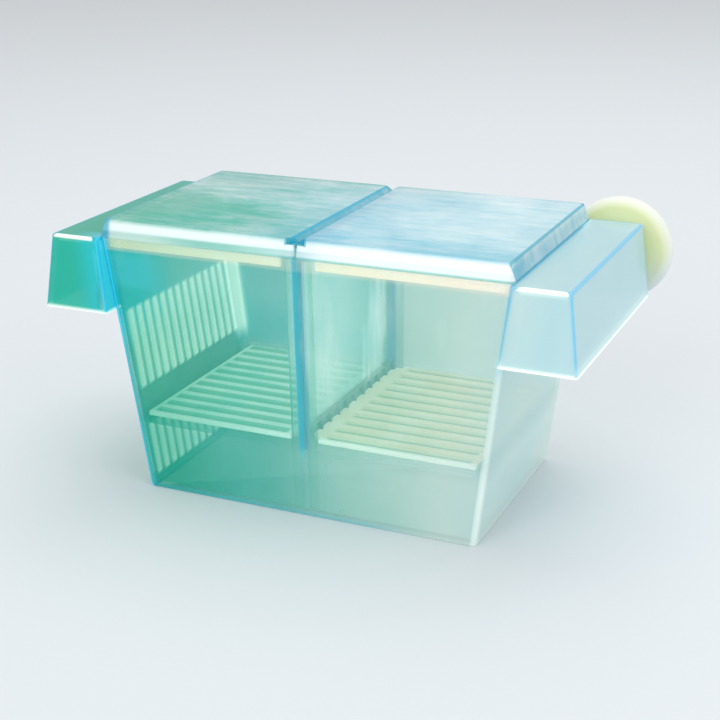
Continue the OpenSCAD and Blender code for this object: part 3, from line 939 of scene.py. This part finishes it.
def slits(s):
    """The middles of a grille's slits, and their edges in order."""
    ys = np.arange(-s.slit_pairs, s.slit_pairs + 1) * s.slit_pitch
    return ys, (ys[:, None] + [-s.slit_w / 2, s.slit_w / 2]).ravel()


def near_any(values, middles, reach):
    """Whether each value lies less than reach from one of the middles."""
    return np.abs(values[:, None] - middles).min(1) < reach


def tank_walls():
    """The tapered trough: round-cornered loops up its outside and inside, rounded at their ends.

    Also gives each point's lit value for painted highlights: 1 down the outer corners, less round
    the base and the rim, and below 0, for white, along the slits' edges, most on the inside.
    """
    (t,) = sizes("tank")
    ys = (np.arange(-t.slit_pairs, t.slit_pairs) + 0.5) * t.slit_pitch
    cuts = (ys[:, None] + [-t.slit_w / 2, t.slit_w / 2, t.slit_pitch / 2]).ravel()[:-1]
    sides = quarters(t.line)
    st = loop_stations([sides[0], *((0, y) for y in cuts), sides[-1]], sides, 6)
    rows = [
        (t.wall + t.slit_margin, GRILLE_LOW.z - t.ledge_h - t.slit_margin),
        (GRILLE_HIGH.z + t.slit_band, t.height - t.float_drop - t.slit_margin),
    ]
    ease, shoulder = 1.2 * MM, 1.9 * MM
    levels = [z for low, high in rows for z in (low - ease, low, high, high + ease)]
    levels.append(t.height - shoulder)
    flat = np.zeros(len(levels))
    first = t.line + t.rim_round
    rise_out, inset_out = rounded(t.base_round)
    rise_in, inset_in = rounded(t.base_round * 2 / 3)
    inset_rim, depth = rounded(t.rim_round)
    z_out = np.array([0, *rise_out, *levels, *(t.height - depth)])
    z_in = np.array([t.wall, *(t.wall + rise_in), *levels, *(t.height - depth)])
    in_out = np.array([first, *inset_out, *flat, *inset_rim])
    in_in = np.array([first, *inset_in, *flat, *(-inset_rim)])

    def at(z, inset, r):
        """Loops at heights z, an inset inside the tank's outside, with corner radius r."""
        l, w = half_l(z) - inset, half_w(z) - inset
        return loops(st, z, -l, l, -w, w, r)

    outer = at(z_out, in_out, np.maximum(t.corner - in_out, MM))
    inner = at(z_in, t.wall + in_in, t.corner - t.wall)
    at_left = (st[:, 0] == -1) & (st[:, 3] == 0)
    middle = (st[:, 5] + np.roll(st[:, 5], -1)) / 2
    slit = at_left & np.roll(at_left, -1) & near_any(middle, ys, t.slit_w / 4)
    z_mid = (z_out[:-1] + z_out[1:]) / 2
    cut, near = (
        np.any([(z > low - more) & (z < high + more) for low, high in rows], 0)
        for z, more in ((z_mid, 0), (z_out, ease / 2))
    )
    shell = wall(outer, inner, ~(cut[:, None] & slit), capped="low")
    base_lit, rim_lit = [0.4] * len(inset_out), [0.15] * len(inset_rim)
    edges = np.array([0, *base_lit, *flat, *rim_lit])
    lit = np.maximum(corner_line(st) * (np.arange(len(z_out)) > 0)[:, None], edges[:, None])
    bars = near[:, None] & (slit | np.roll(slit, 1))
    return shell, np.concatenate([np.where(bars, -0.5, lit).ravel(), np.where(bars, -1, 0).ravel()])


def float_shell():
    """The right float: flared loops round an air space open below, slotted at the back for the cup.

    Also gives each point's lit value for painted highlights: a glow down the corners and round the
    top, and white along the top's front edge and round the lower rim.
    """
    t, c = sizes("tank", "cups")
    ends, steps = quarters(t.line), 5
    st = loop_stations(ends, [ends[0], (-0.2, 0), (-0.1, 0), *ends[3:]], steps)
    step_down, sunk = 0.03 * MM, 0.6 * MM
    low, top, ceiling = (t.height - drop for drop in (t.float_drop, step_down, t.float_wall))
    slot_rows = c.slot_z + np.sin(np.radians([0, 20, 40, 60, 75, 90])) * c.slot
    inset, depth = rounded(t.float_round)
    z_out, z_in = (
        np.array([low, low + t.line, *slot_rows, z - 2 * t.float_round, *(z - depth), z])
        for z in (top, ceiling)
    )
    in_out = np.array([*[0] * (len(slot_rows) + 3), *inset, t.line])

    def at(z, wall_t, root, r):
        """Loops at heights z: end and front flare outwards downwards, the root follows the tank."""
        share = (t.height - z) / t.float_drop
        y0 = -t.rim_w - t.float_proud - t.flare_w * share + wall_t + in_out
        y1 = t.rim_w + t.float_proud - wall_t - in_out
        x1 = t.rim_l + t.float_reach + t.flare_l * share - wall_t - in_out
        return loops(st, z, half_l(z) + root + in_out, x1, y0, y1, r)

    outer = at(z_out, 0, -sunk, t.corner / 2)
    inner = at(z_in, t.float_wall, t.lap, t.corner / 4)
    slot_edge = len(ends) + steps + 3
    spread = np.sqrt(np.maximum(c.slot**2 - np.maximum(z_out - c.slot_z, 0) ** 2, t.lap**2))
    for points in (outer, inner):
        points[:, slot_edge, 0] = c.axis_x + spread
        points[:, slot_edge + 1, 0] = c.axis_x - spread
    solid = np.ones((len(z_out) - 1, len(st)), bool)
    solid[: len(slot_rows), slot_edge] = False
    front = (st[:, 3] == -1) & (st[:, 1] == 0)
    white_highlight, glow = -0.9, 0.75
    lit = np.tile(corner_line(st), (len(z_out), 1))
    lit[-1 - len(inset) : -1] = np.where(front, white_highlight, glow)
    lit[-1], lit[0] = 0, white_highlight
    return wall(outer, inner, solid, capped="high"), np.tile(lit.ravel(), 2)


def lid_shell():
    """The right half lid: sloping loops round a shallow hollow, open low along the seam."""
    t, d = sizes("tank", "lids")
    top = t.height + d.height
    groove, under = top - d.groove_d, top - d.top
    seam_under = under - d.groove_d + d.seam_thin
    inset, depth = rounded(d.edge_round)
    ease, line = 0.3 * MM, 0.2 * MM
    foot = [t.height, t.height + ease]
    z_out = np.array([*foot, seam_under, groove, *(top - depth)])
    z_in = np.array([*foot, *np.linspace(seam_under, under, len(z_out) - 2)])
    in_out = np.array([line, 0, 0, 0, *inset])
    st = loop_stations(quarters(line), [(-0.95, 0), *quarters(line)[1:4]], 5)

    def at(z, x0, wall_t, inset, r):
        """Loops at heights z: the outer end, the front and the back lean in as they rise."""
        share = (z - t.height) / d.height
        x1 = t.rim_l - wall_t - d.slope_l * share - inset
        w = t.rim_w - wall_t - d.slope_w * share - inset
        return loops(st, z, x0, x1, -w, w, r)

    lean = np.maximum(z_out - groove, 0) / d.groove_d
    seam_x = d.seam + (d.groove_w - d.seam) * lean + in_out * (lean > 0)
    outer = at(z_out, seam_x, 0, in_out, d.corner)
    inner = at(z_in, d.groove_w + d.side, d.side, 0, d.corner / 2)
    at_seam = (st[:, 0] == -1) & (st[:, 1] == -1) & (st[:, 4] == 0)
    solid = np.ones((len(z_out) - 1, len(st)), bool)
    solid[:2] = ~(at_seam & np.roll(at_seam, -1))
    return wall(outer, inner, solid, capped="high")


def lid_fittings():
    """The right lid's locating lips, hinge arms and pins."""
    t, d = sizes("tank", "lids")
    axis = (0, d.axis_y, d.axis_z)
    sunk = 1.5 * MM
    lip_z, lip_top = t.height - d.lip_drop, t.height + d.height - sunk
    x0, x1, y1 = t.rail_out + d.lip_room, *(h(lip_z) - t.wall - d.lip_gap for h in (half_l, half_w))
    x2, y2, y3 = x1 - d.lip_t, d.lip_t - y1, y1 - d.lip_back
    lip = [(x0, -y1), (x1, -y1), (x1, y3), (x2, y3), (x2, y2), (x0, y2)]
    heel_drop = 1.2 * d.knuckle
    stop_y = half_w(d.axis_z - heel_drop) - d.axis_y + d.heel_gap
    c, s = math.cos(d.opening), math.sin(d.opening)
    heel = (stop_y * c + heel_drop * s, stop_y * s - heel_drop * c)
    bar, low = t.rim_w - d.side - d.axis_y, t.height + d.arm_room - d.axis_z
    start = 180 + math.degrees(math.asin(-low / d.knuckle))
    arm = [*arc(0, 90, d.knuckle, 12), (bar, d.knuckle), (bar, low)]
    arm += [*arc(start, 270, d.knuckle, 8), heel]
    pin = arc(0, 345, d.pin, 24)
    inner_arm = d.inner_ear + d.ear_t + d.ear_gap
    outer_arm = d.outer_ear - d.ear_gap - d.ear_t
    pin_l = d.ear_t + d.ear_gap
    parts = [
        (arm, inner_arm, d.ear_t),
        (arm, outer_arm, d.ear_t),
        (pin, d.inner_ear + d.pin_short, pin_l),
        (pin, outer_arm + d.ear_t - d.pin_short, pin_l),
    ]
    shells = [prism(outline, x, x + width, 0, axis) for outline, x, width in parts]
    return together(prism(lip, lip_z, lip_top, 2), *shells)


def cut_notch(obj):
    """Take the finger notch out of a lid: a round cutter's volume is subtracted, then removed."""
    t, d = sizes("tank", "lids")
    top = t.height + d.height
    disc = arc(0, 354, d.finger_r, 60)
    place = (0, d.slope_w / 2 - t.rim_w, 0)
    mesh = mesh_of("notch_cutter", prism(disc, top - d.finger_d, top + d.finger_d, 2, place))
    cut = obj.modifiers.new("notch", "BOOLEAN")
    cut.operation, cut.solver, cut.object = "DIFFERENCE", "EXACT", placed("notch_cutter", mesh)
    bpy.context.view_layer.update()
    depsgraph = bpy.context.evaluated_depsgraph_get()
    old, obj.data = obj.data, bpy.data.meshes.new_from_object(obj.evaluated_get(depsgraph))
    obj.modifiers.clear()
    for unused in (mesh, old):
        bpy.data.meshes.remove(unused)
    obj.data.set_sharp_from_angle(angle=math.radians(SMOOTH_ANGLE))


# ---------------------------------------------------------------- operators


class BOX_OT_tank(Operator):
    """Make the tapered tank with its end slits"""

    bl_idname = "breeding_box.tank"
    bl_label = "Tank"

    def execute(self, context):
        shell, lit = tank_walls()
        piece("tank_walls", shell, "tank", "aqua_bloom", ["tank"], lit)
        return {"FINISHED"}


class BOX_OT_floats(Operator):
    """Make the two hollow end floats"""

    bl_idname = "breeding_box.floats"
    bl_label = "Floats"

    def execute(self, context):
        right, lit = float_shell()
        for side, shell in both_sides(right):
            name = side + "_float"
            piece(name + "_shell", shell, "tank", "aqua_bloom", [name], lit)
        return {"FINISHED"}


class BOX_OT_rails(Operator):
    """Make the divider's rails and stops, and the ledges under the grilles"""

    bl_idname = "breeding_box.rails"
    bl_label = "Rails and ledges"

    def execute(self, context):
        (t,) = sizes("tank")
        under = GRILLE_LOW.z
        foot = under - t.ledge_h

        def rib(x0, x1, z0, z1):
            """A rib on the front wall: its outline follows the wall's slope, carried along X."""
            y0, y1 = t.wall - half_w(z0), t.wall - half_w(z1)
            outline = [(y0 - t.lap, z0), (y0 + t.rail_d, z0), (y1 + t.rail_d, z1), (y1 - t.lap, z1)]
            return prism(outline, x0, x1, 0)

        rail = rib(t.rail_in, t.rail_out, t.wall, t.height - MM)
        ribs = together(doubled(rail, 0), rib(-t.rail_in, t.rail_in, foot, under))
        rails = doubled(ribs, 1)
        piece("rail_strips", rails, "tank", "rail_bloom", ["divider_rails"], bevel=0.35 * MM)
        y = t.wall - half_w(under)
        outline = [(y - t.lap, foot), (y + t.ledge_d, under), (y - t.lap, under)]
        ledges = doubled(doubled(prism(outline, t.rail_out, GRILLE_HIGH.x, 0), 0), 1)
        piece("grille_ledges", ledges, "tank", "aqua_bloom", bevel=0.25 * MM)
        return {"FINISHED"}


class BOX_OT_ears(Operator):
    """Make the hinge ears on the back of the rim"""

    bl_idname = "breeding_box.ears"
    bl_label = "Hinge ears"

    def execute(self, context):
        t, d = sizes("tank", "lids")
        sink = 0.5 * MM
        axis = (0, d.axis_y, d.axis_z)
        foot_z = t.height - d.ear_foot
        shoulder = np.array([t.rim_w - sink, t.height - sink]) - axis[1:]
        toe = np.array([half_w(foot_z) - sink, foot_z]) - axis[1:]
        outline = arc(-45, 203, d.knuckle, 30)
        tip = np.array(outline[0])
        outline += [shoulder + (toe - shoulder) * k for k in (0, 0.12, 0.3, 0.6, 1)]
        outline += [toe + (tip - toe) * k for k in (0.3, 0.6, 0.85)]
        ears = [ring(outline, d.bore, x, x + d.ear_t, axis) for x in (d.inner_ear, d.outer_ear)]
        shell = doubled(together(*ears), 0)
        piece("hinge_ears", shell, "tank", "aqua_bloom", bevel=0.2 * MM)
        return {"FINISHED"}


class BOX_OT_lids(Operator):
    """Make the two hinged half lids with their lips, arms and pins"""

    bl_idname = "breeding_box.lids"
    bl_label = "Half lids"

    def execute(self, context):
        trays, fittings = both_sides(lid_shell()), both_sides(lid_fittings())
        for (side, tray), (_, fitting) in zip(trays, fittings):
            body = side + "_lid"
            cut_notch(piece(body + "_tray", tray, body, "lid_frost", [body]))
            piece(body + "_fittings", fitting, body, "fitting_frost", bevel=0.2 * MM)
        return {"FINISHED"}


class BOX_OT_divider(Operator):
    """Make the sliding divider with its comb"""

    bl_idname = "breeding_box.divider"
    bl_label = "Divider"

    def execute(self, context):
        t, s = sizes("tank", "inside")
        low, top, x = DIVIDER_LOW.z, DIVIDER_HIGH.z, DIVIDER_HIGH.x
        ys, comb = slits(s)
        comb_z = low + s.comb_h
        z = np.array([[low, comb_z, comb_z + 1.5 * MM, top - s.cut_h, top - s.edge_w, top]]).T
        half = half_w(z) - t.wall - s.edge_gap - np.clip((z - top) / s.cut_h + 1, 0, 1) * s.cut
        edge = np.maximum(half - s.edge_w, comb[-1] + 0.1 * MM)
        y = np.hstack([-half, -edge, np.tile(comb, (len(z), 1)), edge, half])
        solid = np.ones((len(z) - 1, y.shape[1] - 1), bool)
        solid[0] = ~near_any((y[0, 1:] + y[0, :-1]) / 2, ys, s.slit_w / 4)
        shell = wall(grid(x, y, z), grid(-x, y, z), solid, wrap=False)
        # Lit values: 1 for the painted highlight on the edges and along the top, -1 for the darker
        # comb rows.
        lit = np.zeros(y.shape)
        lit[:2] = -1
        lit[:, [0, -1]] = lit[-1] = 1
        lit = np.tile(lit.ravel(), 2)
        piece("divider_plate", shell, "divider", "divider_glow", ["divider"], lit, bevel=0.25 * MM)
        return {"FINISHED"}


class BOX_OT_grilles(Operator):
    """Make the two slotted floor grilles"""

    bl_idname = "breeding_box.grilles"
    bl_label = "Grilles"

    def execute(self, context):
        t, s = sizes("tank", "inside")
        x0, x1, y1 = GRILLE_LOW.x, GRILLE_HIGH.x, GRILLE_HIGH.y
        ys, edges = slits(s)
        rail_y = half_w(GRILLE_LOW.z) - t.wall - t.rail_d - s.rail_room
        rail_x, bar_x, comb_x = t.rail_out + s.rail_room, x1 - s.end_bar, x0 + s.comb
        x = np.array([x0, comb_x, rail_x, s.lane, (s.lane + x1) / 2, bar_x, x1])
        y = np.sort([*edges, -y1, -rail_y, rail_y, y1])
        xm, ym = (x[1:] + x[:-1]) / 2, (y[1:] + y[:-1])[:, None] / 2
        slotted = near_any(ym[:, 0], ys, s.slit_w / 2)[:, None]
        slotted = slotted & ((xm > s.lane) & (xm < bar_x) | (xm < comb_x))
        corner = (xm < rail_x) & (np.abs(ym) > rail_y)
        top, under = (grid(x, y[:, None], z) for z in (GRILLE_HIGH.z, GRILLE_LOW.z))
        for side, shell in both_sides(wall(top, under, ~(slotted | corner), wrap=False)):
            body = side + "_grille"
            piece(body + "_plate", shell, body, "grille_grain", [body], bevel=0.35 * MM)
        return {"FINISHED"}


class BOX_OT_cups(Operator):
    """Make the two suction cups with their necks and button heads"""

    bl_idname = "breeding_box.cups"
    bl_label = "Suction cups"

    def execute(self, context):
        t, c = sizes("tank", "cups")
        back = t.rim_w + t.float_proud
        head_low, reach = (corner.y - back for corner in CUP_BOXES["right"])
        head_high, q = head_low + c.head_t, c.ease
        foot_y, brim = c.gap + c.boss_h, reach - c.edge
        bow = np.radians(np.linspace(0, 88, 20))
        shoulder = c.boss + (c.radius - c.boss) * np.sin(bow)
        hollow = (c.radius - c.edge) * np.sin(bow[::-1])
        profile = [(0, head_low), (c.head - 3 * q, head_low), (c.head - q, head_low + 0.3 * q)]
        profile += [(c.head, head_low + q), (c.head, head_high - q), (c.head - q, head_high)]
        profile += [(c.neck, head_high), (c.neck, c.gap), (c.boss - q, c.gap), (c.boss, c.gap + q)]
        profile += zip(shoulder, brim - (brim - foot_y) * np.cos(bow))
        profile += [(c.radius, brim), (c.radius, reach - 0.4 * q), (c.radius - 0.3 * q, reach)]
        profile += zip(hollow, reach - c.hollow * np.cos(bow[::-1]))
        for side, x in (("right", c.axis_x), ("left", -c.axis_x)):
            low, high = CUP_BOXES[side]
            z = (low.z + high.z) / 2
            shell = turned(profile, x, back, z)
            far = np.hypot(shell[0][:, 0] - x, shell[0][:, 2] - z)
            # Lit values: the rim's outer 3 mm for the painted highlight, and below 0 the painted
            # shade towards the middle.
            rim = np.clip((far - c.radius) / (3 * MM) + 1, 0, 1)
            core = np.clip((c.radius - far) / (c.radius - c.boss), 0, 1) * (rim == 0)
            body = side + "_suction_cup"
            piece(body + "_disc", shell, body, "cup_vinyl", [body], rim - core, smooth=50)
        return {"FINISHED"}


class BOX_OT_stage(Operator):
    """Set the plain floor, the soft studio light and the camera"""

    bl_idname = "breeding_box.stage"
    bl_label = "Stage"

    def execute(self, context):
        scene, (s,) = context.scene, sizes("stage")
        reach = 6.0
        corners = [(-reach, -reach, 0), (reach, -reach, 0), (reach, reach, 0), (-reach, reach, 0)]
        mesh = mesh_of("floor", (corners, [(0, 1, 2, 3)]))
        mat = bpy.data.materials.new("floor_matt")
        mat.use_nodes = True
        shader = mat.node_tree.nodes["Principled BSDF"]
        shader.inputs["Base Color"].default_value = s.floor
        shader.inputs["Roughness"].default_value = 0.9
        mesh.materials.append(mat)
        placed("floor", mesh)

        def stand(obj, place, roll=0.0):
            """Put a light or camera at a place, looking at the box with its top upwards."""
            facing = (Vector(s.aim) - Vector(place)).to_track_quat("-Z", "Y")
            obj.location = place
            obj.rotation_euler = (facing @ Quaternion((0, 0, 1), roll)).to_euler()

        for name, place, size, power in (
            ("top_light", (0.1, 0.35, 1.3), 1.3, 6),
            ("right_light", (1.3, -0.5, 0.6), 0.9, 3),
            ("front_light", (-0.5, -2.5, 1.0), 1.8, 24),
        ):
            light = bpy.data.lights.new(name, "AREA")
            light.shape, light.size, light.energy = "SQUARE", size, power
            stand(placed(name, light), place)
        scene.world = scene.world or bpy.data.worlds.new("studio")
        scene.world.use_nodes = True
        back = scene.world.node_tree.nodes["Background"]
        back.inputs["Color"].default_value = grey(1)
        back.inputs["Strength"].default_value = s.sky
        scene.cycles.transparent_max_bounces = 64
        scene.view_settings.view_transform = "Standard"
        lens = bpy.data.cameras.new("camera")
        lens.lens, lens.sensor_width, lens.clip_start = s.lens, 36, 0.01
        scene.camera = placed("camera", lens)
        stand(scene.camera, s.eye, s.roll)
        return {"FINISHED"}


class BOX_PT_panel(Panel):
    """Lists the breeding box's pieces"""

    bl_idname = "BOX_PT_panel"
    bl_label = "Breeding box"
    bl_space_type = "VIEW_3D"
    bl_region_type = "UI"
    bl_category = "Breeding box"

    def draw(self, context):
        for operator in OPERATORS:
            self.layout.operator(operator.bl_idname)


SETTINGS = {
    "box_tank": TankSizes,
    "box_inside": InsideSizes,
    "box_lids": LidSizes,
    "box_cups": CupSizes,
    "box_tints": FinishTints,
    "box_stage": StageSettings,
}
OPERATORS = (
    BOX_OT_tank,
    BOX_OT_floats,
    BOX_OT_rails,
    BOX_OT_ears,
    BOX_OT_lids,
    BOX_OT_divider,
    BOX_OT_grilles,
    BOX_OT_cups,
    BOX_OT_stage,
)
CLASSES = (*SETTINGS.values(), *OPERATORS, BOX_PT_panel)


def register():
    """Register the classes and hang their settings on the scene."""
    for cls in CLASSES:
        bpy.utils.register_class(cls)
    for name, cls in SETTINGS.items():
        setattr(bpy.types.Scene, name, PointerProperty(type=cls))


def unregister():
    """Undo register."""
    for name in SETTINGS:
        delattr(bpy.types.Scene, name)
    for cls in reversed(CLASSES):
        bpy.utils.unregister_class(cls)


def main():
    """Make every piece and the stage."""
    register()
    for operator in OPERATORS:
        group, name = operator.bl_idname.split(".")
        getattr(getattr(bpy.ops, group), name)()


if __name__ == "__main__":
    main()
